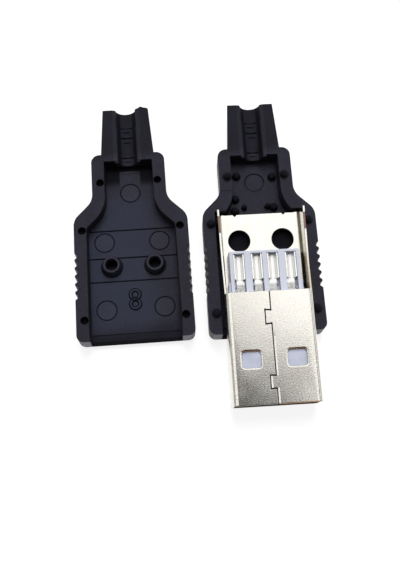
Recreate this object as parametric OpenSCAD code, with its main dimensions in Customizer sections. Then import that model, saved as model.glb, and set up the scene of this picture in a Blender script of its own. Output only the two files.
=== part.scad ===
// Solder-it-yourself rectangular data plug, laid open: two moulded cover halves side by side, inner
// faces up, with the metal plug lying in the right-hand half.
// Millimetres, +Z up. The plug's mating tip points along -Y and the cable necks along +Y.
// Each cover is drawn with its front face at y = 0, its back at z = 0 and its parting face at cover_t.
// The metal plug is drawn with its tip at y = 0 and its tail plate's underside at z = 0.

/* [Covers] */
// Width of the rim on each side of the cavity
rim_w = 1.8; // [1.6:0.05:2.2]
// Thickness of one cover, from its back to the parting face
cover_t = 4; // [3.8:0.1:5]
// Length of a cover's body, without the cable neck
body_l = 27.8; // [27.2:0.1:30]
// Length of the cable neck
neck_l = 7.25; // [5:0.25:12]
// Radius of the cable neck where it meets the body
neck_r_base = 3.9; // [3.6:0.05:3.95]
// Radius of the cable neck at its free end
neck_r_end = 3.38; // [2.8:0.02:3.5]
// Width of the body across its narrow shoulders
shoulder_w = 10.65; // [10:0.05:11]
// Where the body starts to narrow, from the front face
flare_y = 16.9; // [16.5:0.1:17.6]
// Outer radius of the flare at the wide end
flare_r_wide = 2.2; // [1.5:0.1:2.4]
// Outer radius of the flare at the shoulder end
flare_r_narrow = 2.6; // [2:0.1:2.8]
// Rounding of the shoulders beside the neck
shoulder_r = 1.2; // [1:0.1:1.6]
// Rounding of the two front corners
front_r = 1; // [0.95:0.05:1.5]
// Rounding of the outer edge round the back
back_r = 0.9; // [0.4:0.05:0.9]

/* [Cavity] */
// Room on each side of the metal plug in the cavity
plug_room = 0.3; // [0.28:0.01:0.4]
// Draft of the cavity's walls, from the parting face down to the floor
cavity_draft = 0.08; // [0.04:0.01:0.12]
// Width of the wire chamber next to the neck
chamber_w = 7; // [6:0.1:7.2]
// Wall between the wire chamber and the neck's end of the body
chamber_wall = 1.1; // [0.8:0.1:1.6]
// Where the cavity starts to narrow
inner_flare_y = 16.2; // [15.8:0.1:16.6]
// Inner radius of the cavity's flare at the wide end
inner_r_wide = 0.6; // [0.3:0.1:0.9]
// Inner radius of the cavity's flare at the chamber end
inner_r_narrow = 5; // [4:0.1:5.2]
// Floor thickness at the front of the socket cover
front_floor = 1.6; // [1.3:0.05:1.7]
// Rise of the socket cover's floor at each of its three steps
floor_step = 0.13; // [0.05:0.01:0.15]
// Places of the three floor steps, from the front face
floor_steps = [9, 12.45, 16.6];
// Floor thickness of the pin cover
plain_floor = 1.65; // [1.4:0.05:1.75]
// Length of the sloped lip at the front of each floor
lip_l = 1.34; // [0.8:0.02:2]
// Drop of the sloped lip
lip_drop = 0.65; // [0.3:0.05:0.8]
// Depth of the corner ledges in the pin cover, under the parting face
ledge_depth = 1.2; // [1:0.05:1.4]
// Length of the corner ledges past the start of the flare
ledge_l = 1.8; // [1.6:0.05:1.9]

/* [Cable groove] */
// Radius of the half-round cable groove
groove_r = 1.5; // [1.2:0.05:1.8]
// Narrowing of the groove, on the radius, inside of its first clamping rib
groove_step = 0.17; // [0.16:0.01:0.24]
// Height of the flat clamping ribs over the bottom of the groove
rib_h = 0.2; // [0.1:0.02:0.4]
// Thickness of a clamping rib
rib_t = 0.5; // [0.3:0.05:0.8]
// Places of the clamping ribs, back from the neck's free end
rib_places = [2.7, 4.4, 7.5];
// Width of the bevel along the groove's edges
groove_bevel_w = 0.5; // [0.2:0.05:0.6]
// Depth of that bevel
groove_bevel_h = 0.14; // [0.05:0.01:0.2]
// Length of the half-round lip that guides the cable into the wire chamber
guide_l = 0.3; // [0.2:0.05:0.8]
// Wall of that lip
guide_t = 0.35; // [0.2:0.05:0.6]

/* [Pins, bosses and marks] */
// Diameter of the locating pins
pin_d = 1.02; // [0.8:0.01:1.04]
// Height of the locating pins, to their domed tips
pin_h = 0.9; // [0.6:0.1:1.4]
// Play of a pin in its socket, on the diameter
pin_play = 0.1; // [0.04:0.01:0.12]
// Distance of a pin's middle from the wall of the cavity or of the wire chamber
pin_inset = 0.64; // [0.63:0.01:0.8]
// Places of the three pairs of pins, from the front face
pin_rows = [3, 16.1, 23.35];
// Distance between the two hollow bosses
boss_pitch = 6.14; // [6:0.02:6.3]
// Diameter of a boss at its top
boss_d = 2.45; // [2.3:0.05:2.6]
// Diameter of a boss at its foot
boss_foot_d = 2.8; // [2.65:0.05:2.9]
// Bore of a boss
boss_bore = 1.65; // [1:0.05:1.9]
// Depth of that bore below the floor
boss_sink = 1; // [0.2:0.1:1.2]
// Height of a boss over the floor
boss_h = 1.3; // [0.8:0.05:1.8]
// Place of the bosses, from the front face
boss_y = 11.15; // [10.9:0.05:11.25]
// Diameter of the round ejector marks
mark_d = 2.96; // [2.4:0.02:3.2]
// Width of the ring line round an ejector mark
mark_line = 0.14; // [0.08:0.01:0.2]
// Depth of that line
mark_depth = 0.09; // [0.03:0.01:0.12]
// Places of the socket cover's four ejector marks in the shell's seat
socket_marks = [[-4, 14.85], [3.9, 14.75], [-4.05, 4.85], [4.1, 4.95]];
// Sideways place of the socket cover's chamber mark, and its distance from the chamber's end wall
socket_end_mark = [0.05, 4.35];
// The same for the pin cover's only mark
pin_end_mark = [0, 3.4];
// Outer diameter of each ring of the cavity figure 8
figure_d = 1.75; // [1.2:0.05:2]
// Stroke of the cavity figure
figure_stroke = 0.36; // [0.2:0.02:0.45]
// Height of the cavity figure over the floor
figure_h = 0.18; // [0.05:0.01:0.25]
// Middle of the cavity figure, from the front face
figure_y = 6.25; // [5.5:0.05:6.5]
// Height of the small posts in the pin cover's wire chamber
post_h = 0.9; // [0.5:0.05:1.1]
// Each small post: x, y and diameter
posts = [
    [-2.6, 24.35, 1.05], [2.65, 24.05, 1.05], [-3.05, 20.65, 1.05], [-3.2, 18.75, 1.1],
    [2.5, 19.2, 1.1], [-1.8, 19.3, 0.7], [1.6, 19.35, 0.7]
];

/* [Grips] */
// Number of grip notches on each side
grip_count = 6; // [3:1:7]
// Distance from one grip notch to the next
grip_pitch = 1.18; // [1:0.02:1.2]
// Depth of a grip notch
grip_depth = 0.36; // [0.2:0.02:0.5]
// Place of the notch nearest the neck, from the front face
grip_y = 12.35; // [12:0.05:12.6]

/* [Metal shell] */
// Outer width of the shell
shell_w = 12; // [11.9:0.05:12.1]
// Outer height of the shell
shell_h = 4.5; // [4.4:0.05:4.6]
// Sheet thickness
sheet_t = 0.3; // [0.25:0.01:0.35]
// Outer bend radius of the sheet
bend_r = 0.85; // [0.5:0.05:0.9]
// Length of the closed tube
tube_l = 15.2; // [14.8:0.1:15.4]
// Length of the open tail behind the tube
tail_l = 12.3; // [12.1:0.05:12.5]
// Height of the tail's ears above the tail's underside
ear_h = 3.1; // [2.6:0.1:3.4]
// Length of the ears' slope up to the tube
ear_slope_l = 4.2; // [2:0.1:5]
// Outward lean of the ears' free corners
ear_lean = 0.2; // [0:0.02:0.24]
// Length of the raw stretch on an ear where the carrier strip was cut off
raw_l = 2.4; // [1.5:0.1:3]
// Distance of the raw stretch from the tail's end
raw_y = 1; // [0.6:0.1:1.6]
// Depth of the raw stretch
raw_depth = 0.08; // [0.02:0.02:0.2]
// Distance between the two holes in the tail
tail_hole_pitch = 6.24; // [6.1:0.02:6.3]
// Diameter of those holes
tail_hole_d = 3.14; // [3:0.02:3.2]
// Distance of the holes from the tail's end
tail_hole_y = 3.95; // [3.8:0.05:4.1]
// Width of the small nicks in the tail's end
nick_w = 0.4; // [0.2:0.05:0.6]
// Width of a latch window
window_w = 2.6; // [2.2:0.05:2.8]
// Length of a latch window
window_l = 2.25; // [1.8:0.05:2.5]
// Distance between the two windows' middles
window_pitch = 6.14; // [6:0.02:6.4]
// Distance of the windows from the tip
window_y = 6; // [5:0.1:6.5]
// Corner radius of the windows
window_r = 0.45; // [0.2:0.05:0.6]
// Gap along the seam
seam_gap = 0.1; // [0.06:0.01:0.16]
// Reach of a locking tab across the seam
tab_w = 0.8; // [0.5:0.05:1]
// Start and end of each locking tab, from the tip
tabs = [[2.1, 3.7], [10.75, 12.5]];
// Widening of a locking tab towards its end
tab_flare = 0.14; // [0:0.02:0.2]

/* [Insulator and contacts] */
// Height of the hollow between the shell's lower wall and the tongue
hollow_h = 1.95; // [1.9:0.01:2]
// Distance from the tip to the front of the tongue
tongue_y = 0.4; // [0.2:0.05:0.8]
// Depth of the hollow, from the tip
hollow_l = 9.2; // [8.6:0.1:9.6]
// Play between the insulator and the shell, and between a contact and its groove
fit = 0.05; // [0.02:0.01:0.08]
// Width of the insulator's rear block
rear_w = 9.8; // [9.7:0.05:9.9]
// Length of the rear block behind the tube
rear_l = 6.4; // [6.2:0.05:6.5]
// Width and length of the step beside the rear block, next to the tube
shoulder_step = [0.3, 1.9];
// Height of the ribs between the solder cups
rib_top = 2.65; // [2.5:0.05:3]
// Height of the low wall behind the solder cups
end_wall_top = 1.95; // [1.8:0.05:2.2]
// Thickness of that wall
end_wall_t = 0.55; // [0.3:0.05:0.7]
// Width of the slots for the solder cups
slot_w = 1.56; // [1.5:0.01:1.6]
// Sideways places of the four contacts
contact_x = [-3.5, -1, 1, 3.5];
// Sideways shift of the solder cups away from the middle
cup_shift = 0.12; // [0:0.01:0.14]
// Distance of the outer and the inner contacts from the tip
contact_start = [1.3, 2.3];
// Width of a contact strip
strip_w = 1; // [0.9:0.05:1.1]
// Thickness of the contact metal
contact_t = 0.2; // [0.15:0.01:0.22]
// Height of the solder cups' underside
cup_z = 1.5; // [1.4:0.05:1.6]
// Width of a solder cup
cup_w = 1.5; // [1.3:0.02:1.5]
// Height of a solder cup
cup_h = 1; // [0.8:0.05:1.1]
// Length of a solder cup
cup_l = 3.6; // [2.8:0.1:3.8]
// Width of a contact's neck between its cup and the tube
contact_neck_w = 1.15; // [1:0.05:1.3]

/* [Layout] */
// Sideways distance from the pin cover's middle to the socket cover's middle
cover_spacing = 18.04; // [17.4:0.02:24]
// Turn of the socket cover, in degrees
socket_cover_turn = 0.94; // [0:0.02:2]
// Length of the metal plug ahead of the edge that it leans on
overhang = 11.05; // [10.8:0.05:11.3]
// Sideways shift of the metal plug's tail in the pin cover
plug_shift = 0.1; // [0:0.01:0.12]
// Turn of the metal plug about its tail end, in degrees
plug_turn = 0.35; // [0:0.01:0.36]
// Gap under the metal plug where it leans on the pin cover
rest_gap = 0.05; // [0.05:0.01:0.1]

/* [Hidden] */

PLASTIC = [0.16, 0.16, 0.2];
NICKEL = [0.78, 0.77, 0.72];
WHITE_PLASTIC = [0.84, 0.85, 0.92];
TIN = [0.9, 0.9, 0.88];

FLARE_ANGLE = 45;
ARC_STEPS = 8;
BACK_STEPS = 4;
ROUND = 48;
CUT = 1;
SMALL = 0.01;

cavity_w = shell_w + 2 * plug_room;
cover_w = cavity_w + 2 * rim_w;
pin_x = [cavity_w / 2 + pin_inset, cavity_w / 2 + pin_inset, chamber_w / 2 + pin_inset];
plug_l = tube_l + tail_l;
inner_w = shell_w - 2 * sheet_t;
tongue_z = sheet_t + hollow_h;
cover_l = body_l + neck_l;
chamber_end = body_l - chamber_wall;
ledge_z = cover_t - ledge_depth;
socket_floor = [for (i = [0 : 3]) front_floor + i * floor_step];
tail_hole_place = plug_l - tail_hole_y;

// The metal plug leans on the pin cover's front lip and on the two corner ledges.
plug_tilt = asin((ledge_z - plain_floor) / (plug_l - overhang));
plug_y = lip_l - overhang * cos(plug_tilt);
plug_z = plain_floor + rest_gap - overhang * sin(plug_tilt);

// Box of the whole layout, which puts the origin under its middle.
left_edge = -cover_spacing - (cover_w / 2) * cos(socket_cover_turn)
    - flare_y * sin(socket_cover_turn);
right_edge = cover_w / 2;
tip_edge = plug_y - shell_h * sin(plug_tilt) - (shell_w / 2) * sin(plug_turn);
neck_edge = cover_l * cos(socket_cover_turn) + neck_r_end * sin(socket_cover_turn);
layout_x = -(left_edge + right_edge) / 2;
layout_y = -(tip_edge + neck_edge) / 2;

// Points on an arc, with both ends.
function arc(cx, cy, r, from, to) = [
    for (i = [0 : ARC_STEPS])
        let (a = from + (to - from) * i / ARC_STEPS) [cx + r * cos(a), cy + r * sin(a)]
];

// Length along Y of a flare made of two arcs and the straight stretch that joins them.
function flare_rise(half_wide, half_narrow, r_wide, r_narrow) =
    let (
        radii = r_wide + r_narrow,
        straight = (half_wide - half_narrow - radii * (1 - cos(FLARE_ANGLE))) / sin(FLARE_ANGLE)
    )
    radii * sin(FLARE_ANGLE) + straight * cos(FLARE_ANGLE);

// A flare from its wide end to its narrow end, pulled inwards by inset.
function flare(y, half_wide, half_narrow, r_wide, r_narrow, inset) =
    let (end_y = y + flare_rise(half_wide, half_narrow, r_wide, r_narrow))
    concat(
        arc(half_wide - r_wide, y, r_wide - inset, 0, FLARE_ANGLE),
        arc(half_narrow + r_narrow, end_y, r_narrow + inset, 180 + FLARE_ANGLE, 180)
    );

// Right-hand half of a cover's outline, from the front to the neck.
function half_outline(inset) = concat(
    arc(cover_w / 2 - front_r, front_r, front_r - inset, -90, 0),
    flare(flare_y, cover_w / 2, shoulder_w / 2, flare_r_wide, flare_r_narrow, inset),
    arc(shoulder_w / 2 - shoulder_r, body_l - shoulder_r, shoulder_r - inset, 0, 90)
);

// Right-hand half of the cavity's outline, from the open front to the wire chamber, pulled in by inset.
function half_cavity(inset) = concat(
    [[cavity_w / 2 - inset, -CUT]],
    flare(inner_flare_y, cavity_w / 2, chamber_w / 2, inner_r_wide, inner_r_narrow, inset),
    [[chamber_w / 2 - inset, chamber_end - inset]]
);

function mirrored(points) = [for (i = [len(points) - 1 : -1 : 0]) [-points[i][0], points[i][1]]];
function closed(points) = concat(points, mirrored(points));

// Levels of the rounded back edge: height and half outline, from the back to the parting face.
back_levels = concat(
    [for (i = [0 : BACK_STEPS])
        let (a = 90 * i / BACK_STEPS)
            [back_r * (1 - cos(a)), half_outline(back_r * (1 - sin(a)))]],
    [[cover_t, half_outline(0)]]
);

// Solid stacked from half outlines at rising heights, with its two flat ends in strips.
module stack(levels) {
    half = len(levels[0][1]);
    ring = 2 * half;
    top = len(levels) - 1;
    points = [
        for (level = levels)
            for (p = closed(level[1])) [p[0], p[1], level[0]]
    ];
    sides = [
        for (k = [0 : top - 1])
            for (i = [0 : ring - 1])
                let (j = (i + 1) % ring)
                [k * ring + i, (k + 1) * ring + i, (k + 1) * ring + j, k * ring + j]
    ];
    back = [for (i = [0 : half - 2]) [i, i + 1, ring - 2 - i, ring - 1 - i]];
    face = [for (s = back) [for (i = [3 : -1 : 0]) s[i] + top * ring]];
    polyhedron(points = points, faces = concat(sides, back, face));
}

// A cylinder or cone along +Y, from y = 0.
module along_y(h, r1, r2) {
    rotate([-90, 0, 0])
        cylinder(h = h, r1 = r1, r2 = r2, $fn = 2 * ROUND);
}

// Half cone of the cable neck, run a little way into the body.
module neck() {
    intersection() {
        translate([0, body_l - back_r, cover_t])
            along_y(neck_l + back_r, neck_r_base, neck_r_end);
        translate([-cover_w / 2, 0, 0])
            cube([cover_w, cover_l, cover_t]);
    }
}

// Cavity down to its lowest floor, less the raised floors that start at the given steps.
module cavity(floor_z, steps, rise) {
    difference() {
        stack([
            [floor_z, half_cavity(cavity_draft)], [cover_t, half_cavity(0)],
            [cover_t + CUT, half_cavity(0)]
        ]);
        for (i = [0 : 1 : len(steps) - 1])
            translate([-cover_w / 2, steps[i], floor_z - CUT])
                cube([cover_w, cover_l, CUT + (i + 1) * rise]);
    }
}

// Slope that opens the front of a floor.
module lip_cut(floor_z) {
    translate([-cavity_w / 2, 0, 0])
        rotate([90, 0, 90])
            linear_extrude(cavity_w)
                polygon([
                    [-CUT, floor_z - lip_drop * (1 + CUT / lip_l)], [lip_l, floor_z],
                    [lip_l, floor_z + CUT], [-CUT, floor_z + CUT]
                ]);
}

// Cable groove with bevelled edges and flat ribs across its bottom.
module cable_groove() {
    start = chamber_end - guide_l - SMALL;
    length = cover_l - start;
    mouth = cover_l - rib_places[0];
    narrow_r = groove_r - groove_step;
    edge_w = groove_r + groove_bevel_w;
    difference() {
        union() {
            translate([0, start, cover_t])
                along_y(length + CUT, narrow_r, narrow_r);
            translate([0, mouth, cover_t])
                along_y(cover_l - mouth + CUT, groove_r, groove_r);
        }
        for (place = rib_places)
            translate([-groove_r, cover_l - place - rib_t, 0])
                cube([2 * groove_r, rib_t, cover_t - narrow_r + rib_h]);
    }
    translate([0, cover_l + CUT, cover_t])
        rotate([90, 0, 0])
            linear_extrude(length + CUT)
                polygon([
                    [-edge_w, CUT], [-edge_w, 0], [0, -groove_bevel_h * edge_w / groove_bevel_w],
                    [edge_w, 0], [edge_w, CUT]
                ]);
}

// Half-round lip that carries the groove into the wire chamber.
module cable_guide() {
    intersection() {
        translate([0, chamber_end - guide_l, cover_t])
            along_y(guide_l + SMALL, groove_r + guide_t, groove_r + guide_t);
        translate([-cover_w / 2, 0, 0])
            cube([cover_w, cover_l, cover_t]);
    }
}

// Grip notches down both sides.
module grip_notches() {
    flat = grip_pitch * 0.15;
    mouth = grip_pitch * 0.39;
    for (side = [-1, 1])
        for (i = [0 : grip_count - 1])
            translate([side * cover_w / 2, grip_y - i * grip_pitch, -CUT])
                linear_extrude(cover_t + 2 * CUT)
                    polygon([
                        [side * CUT, mouth + CUT], [0, mouth], [-side * grip_depth, flat],
                        [-side * grip_depth, -flat], [0, -mouth], [side * CUT, -mouth - CUT]
                    ]);
}

// Children at each of the six pin places.
module at_pins() {
    for (side = [-1, 1])
        for (i = [0 : 2])
            translate([side * pin_x[i], pin_rows[i], cover_t])
                children();
}

// Round peg with a domed tip that stands h high; foot_d is its diameter at the foot.
module peg(h, foot_d, d) {
    dome = d / 2;
    rotate_extrude($fn = ROUND)
        polygon(concat(
            [[0, -SMALL], [foot_d / 2, -SMALL]],
            [for (i = [0 : 5])
                let (a = 90 * i / 5) [dome * cos(a), h - dome * 0.8 * (1 - sin(a))]]
        ));
}

// A place in the wire chamber, from its distance to the chamber's end wall.
function from_end_wall(place) = [place[0], chamber_end - place[1]];

// Ring line of one ejector mark, in a floor at floor_z.
module ejector_mark(place, floor_z) {
    translate([place[0], place[1], floor_z - mark_depth])
        difference() {
            cylinder(h = mark_depth + CUT, d = mark_d, $fn = 2 * ROUND);
            translate([0, 0, -CUT])
                cylinder(h = mark_depth + 3 * CUT, d = mark_d - 2 * mark_line, $fn = 2 * ROUND);
        }
}

// Raised mould-cavity figure: two stacked rings.
module cavity_figure() {
    offset_y = (figure_d - figure_stroke) / 2;
    for (side = [-1, 1])
        translate([0, figure_y + side * offset_y, socket_floor[0] - SMALL])
            difference() {
                cylinder(h = figure_h + SMALL, d = figure_d, $fn = ROUND);
                translate([0, 0, -CUT])
                    cylinder(h = figure_h + 2 * CUT, d = figure_d - 2 * figure_stroke, $fn = ROUND);
            }
}

// Hollow boss with a rounded top, made to pass through a hole in the metal tail.
module boss() {
    edge = (boss_d - boss_bore) / 4;
    rotate_extrude($fn = 2 * ROUND)
        polygon(concat(
            [[boss_bore / 2, -SMALL], [boss_foot_d / 2, -SMALL]],
            [for (i = [0 : 6])
                let (a = 180 * i / 6)
                    [boss_d / 2 - edge + edge * cos(a), boss_h - edge + edge * sin(a)]]
        ));
}

module socket_cover() {
    color(PLASTIC) {
        difference() {
            union() {
                difference() {
                    union() {
                        stack(back_levels);
                        neck();
                    }
                    cavity(socket_floor[0], floor_steps, floor_step);
                    lip_cut(socket_floor[0]);
                    grip_notches();
                }
                cable_guide();
            }
            cable_groove();
            at_pins()
                translate([0, 0, -pin_h - pin_play])
                    cylinder(h = pin_h + pin_play + CUT, d = pin_d + pin_play, $fn = ROUND);
            for (side = [-1, 1])
                translate([side * boss_pitch / 2, boss_y, socket_floor[1] - boss_sink])
                    cylinder(h = boss_sink + CUT, d = boss_bore, $fn = 2 * ROUND);
            ejector_mark(from_end_wall(socket_end_mark), socket_floor[3]);
            for (i = [0, 1])
                ejector_mark(socket_marks[i], socket_floor[2]);
            for (i = [2, 3])
                ejector_mark(socket_marks[i], socket_floor[0]);
        }
        for (side = [-1, 1])
            translate([side * boss_pitch / 2, boss_y, socket_floor[1]])
                boss();
        cavity_figure();
    }
}

module pin_cover() {
    color(PLASTIC) {
        difference() {
            union() {
                difference() {
                    union() {
                        stack(back_levels);
                        neck();
                    }
                    cavity(plain_floor, [], 0);
                    lip_cut(plain_floor);
                    translate([-cavity_w / 2, inner_flare_y - CUT, ledge_z])
                        cube([cavity_w, ledge_l + CUT, cover_t]);
                    grip_notches();
                }
                cable_guide();
            }
            cable_groove();
            ejector_mark(from_end_wall(pin_end_mark), plain_floor);
        }
        at_pins()
            peg(pin_h, pin_d, pin_d);
        for (p = posts)
            translate([p[0], p[1], plain_floor])
                peg(post_h, p[2] * 1.15, p[2]);
    }
}

// Rectangle with round corners, centred on x and standing on y = 0.
module round_rect(w, h, r) {
    translate([-w / 2 + r, 0])
        square([w - 2 * r, h]);
    translate([-w / 2, r])
        square([w, h - 2 * r]);
    for (x = [-w / 2 + r, w / 2 - r])
        for (y = [r, h - r])
            translate([x, y])
                circle(r = r, $fn = ROUND);
}

// A profile drawn in x and z, run along +Y from y.
module run_y(y, length) {
    translate([0, y + length, 0])
        rotate([90, 0, 0])
            linear_extrude(length)
                children();
}

module shell_section() {
    difference() {
        round_rect(shell_w, shell_h, bend_r);
        translate([0, sheet_t])
            round_rect(inner_w, shell_h - 2 * sheet_t, bend_r - sheet_t);
    }
}

// Ear on one side of the tail: it leans out towards its free rear corner.
module ear(side) {
    lean_front = ear_lean * ear_slope_l / tail_l;
    profile = [
        [0, tube_l, bend_r], [0, plug_l, bend_r], [ear_lean, plug_l, ear_h],
        [lean_front, tube_l + ear_slope_l, ear_h], [0, tube_l, shell_h - bend_r]
    ];
    count = len(profile);
    points = [
        for (x = [shell_w / 2 - sheet_t, shell_w / 2])
            for (p = profile) [x + p[0], p[1], p[2]]
    ];
    edge = [
        for (i = [0 : count - 1])
            let (j = (i + 1) % count) [i, count + i, count + j, j]
    ];
    mirror([side < 0 ? 1 : 0, 0, 0])
        polyhedron(points = points, faces = concat([[0, 1, 2], [0, 2, 3], [0, 3, 4]],
            [[5, 7, 6], [5, 8, 7], [5, 9, 8]], edge));
}

// A straight slit in plan from a to b.
module slit(a, b) {
    run = b - a;
    translate([a[0], a[1]])
        rotate(atan2(run[1], run[0]))
            translate([-seam_gap / 2, -seam_gap / 2])
                square([norm(run) + seam_gap, seam_gap]);
}

// Seam down the middle of the upper wall, led round its two locking tabs.
module seam() {
    path = concat(
        [[0, -CUT]],
        [for (t = tabs)
            each [[0, t[0]], [-tab_w, t[0] - tab_flare], [-tab_w, t[1] + tab_flare], [0, t[1]]]],
        [[0, tube_l + CUT]]
    );
    for (i = [0 : len(path) - 2])
        slit(path[i], path[i + 1]);
}

module latch_windows() {
    for (side = [-1, 1])
        translate([side * window_pitch / 2, window_y - window_l / 2])
            round_rect(window_w, window_l, window_r);
}

module plug_shell() {
    color(NICKEL)
        difference() {
            union() {
                difference() {
                    run_y(0, plug_l)
                        shell_section();
                    translate([-shell_w / 2 - CUT, tube_l, bend_r])
                        cube([shell_w + 2 * CUT, tail_l + CUT, shell_h]);
                }
                for (side = [-1, 1])
                    ear(side);
            }
            translate([-shell_w / 2 - CUT, plug_l - raw_y - raw_l, ear_h - raw_depth])
                cube([shell_w + 2 * CUT, raw_l, CUT]);
            translate([0, 0, -CUT])
                linear_extrude(shell_h + 2 * CUT)
                    latch_windows();
            translate([0, 0, shell_h - sheet_t - SMALL])
                linear_extrude(sheet_t + CUT)
                    seam();
            for (side = [-1, 1]) {
                translate([side * tail_hole_pitch / 2, tail_hole_place, -CUT])
                    cylinder(h = sheet_t + 2 * CUT, d = tail_hole_d, $fn = 2 * ROUND);
                translate([side * (tail_hole_pitch / 2 + nick_w), plug_l, -CUT])
                    rotate(45)
                        cube([nick_w, nick_w, 2 * sheet_t + 2 * CUT], center = true);
            }
        }
}

// The tube's inner space, less the play, cut to a range of heights.
module inner_section(low, high) {
    gap = sheet_t + fit;
    intersection() {
        translate([0, gap])
            round_rect(shell_w - 2 * gap, shell_h - 2 * gap, bend_r - gap);
        translate([-shell_w / 2, low])
            square([shell_w, high - low]);
    }
}

module insulator() {
    rear_end = tube_l + rear_l;
    low = sheet_t + fit;
    color(WHITE_PLASTIC)
        difference() {
            union() {
                run_y(tongue_y, tube_l - tongue_y)
                    inner_section(tongue_z, shell_h);
                run_y(hollow_l, tube_l - hollow_l)
                    inner_section(low, shell_h);
                translate([-rear_w / 2, tube_l - SMALL, low])
                    cube([rear_w, rear_l + SMALL, end_wall_top - low]);
                translate([-rear_w / 2, tube_l - SMALL, low])
                    cube([rear_w, rear_l - end_wall_t / 2 + SMALL, rib_top - low]);
                translate([-rear_w / 2 - shoulder_step[0], tube_l - SMALL, low])
                    cube([rear_w + 2 * shoulder_step[0], shoulder_step[1] + SMALL, end_wall_top - low]);
            }
            for (i = [0 : 3])
                translate([contact_x[i], 0, 0])
                    contact_space(i, rear_end - end_wall_t);
        }
}

// Shift of one cup away from the middle.
function cup_offset(i) = sign(contact_x[i]) * cup_shift;

// Room for one contact: a groove under the tongue, a passage through the block and an open slot.
module contact_space(i, slot_end) {
    groove_w = strip_w + 2 * fit;
    start = contact_start[i % 3 == 0 ? 0 : 1] - fit;
    passage_w = contact_neck_w + 2 * fit;
    translate([-groove_w / 2, start, tongue_z - CUT])
        cube([groove_w, hollow_l - start + SMALL, contact_t + CUT]);
    translate([-passage_w / 2, hollow_l - SMALL, cup_z])
        cube([passage_w, tube_l - hollow_l + 2 * SMALL, tongue_z + contact_t - cup_z]);
    translate([-slot_w / 2 + cup_offset(i), tube_l, cup_z])
        cube([slot_w, slot_end - tube_l, shell_h]);
}

// One contact: strip along the tongue, a step down inside the block, neck and open solder cup.
module contact(i) {
    start = contact_start[i % 3 == 0 ? 0 : 1];
    cup_end = tube_l + rear_l - end_wall_t - fit;
    cup_start = cup_end - cup_l;
    step_a = hollow_l + 1.5;
    step_b = step_a + tongue_z - cup_z;
    strip_top = tongue_z + contact_t;
    neck_top = cup_z + contact_t;
    color(TIN)
        translate([contact_x[i], 0, 0]) {
            translate([-strip_w / 2, 0, 0])
                rotate([90, 0, 90])
                    linear_extrude(strip_w)
                        polygon([
                            [start, tongue_z + contact_t / 2], [start, strip_top],
                            [step_a + contact_t, strip_top], [step_b + contact_t, neck_top],
                            [tube_l, neck_top], [tube_l, cup_z], [step_b, cup_z], [step_a, tongue_z],
                            [start + contact_t, tongue_z]
                        ]);
            translate([-contact_neck_w / 2, step_b + contact_t, cup_z])
                cube([contact_neck_w, cup_start - step_b - contact_t + SMALL, contact_t]);
            run_y(cup_start, cup_l)
                translate([cup_offset(i), cup_z])
                    cup_section();
        }
}

// Section of a solder cup: a round-bottomed trough.
module cup_section() {
    difference() {
        round_rect(cup_w, 2 * cup_h, cup_w / 2 - SMALL);
        translate([0, contact_t])
            round_rect(cup_w - 2 * contact_t, 2 * cup_h, cup_w / 2 - contact_t - SMALL);
        translate([-cup_w, cup_h])
            square([2 * cup_w, 2 * cup_h]);
    }
}

// Where each cover and the metal plug lie.
module lay_socket_cover() {
    translate([layout_x - cover_spacing, layout_y, 0])
        rotate([0, 0, socket_cover_turn])
            children();
}

module lay_pin_cover() {
    translate([layout_x, layout_y, 0])
        children();
}

module lay_plug() {
    reach = plug_l * cos(plug_tilt);
    lay_pin_cover()
        translate([plug_shift, plug_y + reach, plug_z])
            rotate([0, 0, plug_turn])
                translate([0, -reach, 0])
                    rotate([plug_tilt, 0, 0])
                        children();
}

lay_socket_cover() socket_cover();
lay_pin_cover() pin_cover();
lay_plug() plug_shell();
lay_plug() insulator();
lay_plug() contact(0);  // contact_power
lay_plug() contact(1);  // contact_data_minus
lay_plug() contact(2);  // contact_data_plus
lay_plug() contact(3);  // contact_ground
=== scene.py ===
"""Looks of the opened data plug: two moulded cover halves and the metal plug with its solder cups."""

import math

import bmesh
import bpy
from mathutils import Matrix, Vector


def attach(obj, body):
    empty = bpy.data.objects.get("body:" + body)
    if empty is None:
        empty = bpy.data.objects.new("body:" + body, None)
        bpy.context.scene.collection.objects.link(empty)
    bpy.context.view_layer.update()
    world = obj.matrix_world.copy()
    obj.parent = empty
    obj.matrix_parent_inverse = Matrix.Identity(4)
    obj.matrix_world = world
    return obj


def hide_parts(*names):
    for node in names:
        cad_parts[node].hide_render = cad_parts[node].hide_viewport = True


MM = 0.001
ROOT = "root"
CONTACTS = ("contact_power", "contact_data_minus", "contact_data_plus", "contact_ground")

# Where each piece's own origin lies in the layout, in millimetres, and how it is turned, in degrees.
PLACES = {
    "socket_cover": ((-8.88192, -12.53326, 0.0), (0.0, 0.0, 0.94)),
    "pin_cover": ((9.15808, -12.53326, 0.0), (0.0, 0.0, 0.0)),
    "plug": ((9.42566, -22.21572, 0.92751), (4.00875, 0.0, 0.35)),
}

# The covers, in millimetres of a cover's own frame: x across, y back from the front end, z up from the table.
CHAMBER_END = 26.7
NECK_END = 35.05
PIN_ROWS = ((6.94, 3.0), (6.94, 16.1), (4.14, 23.35))
WALL_REACH = 7.1  # how far from the middle the cavity's walls may lie
CHAMBER_NARROWING = 2.6  # how much nearer they lie in the wire chamber
LIP_HALF = 6.25
LIP_TOP = (1.66, 1.7)
LIP_SLOPE = 0.6
LIP_CREASE = 1.34
FLOOR_HALF = 6.2
UNDER_RIM = (3.9, 3.96)  # heights over which a mask fades out just below the rim's face
ON_RIM = (3.8, 3.9)  # heights over which one fades in for the rim's face
GROOVE_HALF = 1.55
GROOVE_EDGE_TOP = 3.2
GROOVE_BOTTOM_HALF = 0.82
GROOVE_SIDES = (0.86, 1.44)
GROOVE_BEVELS = (1.5, 2.02)
GROOVE_BEVEL_HEIGHT = (3.6, 3.8)
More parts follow.
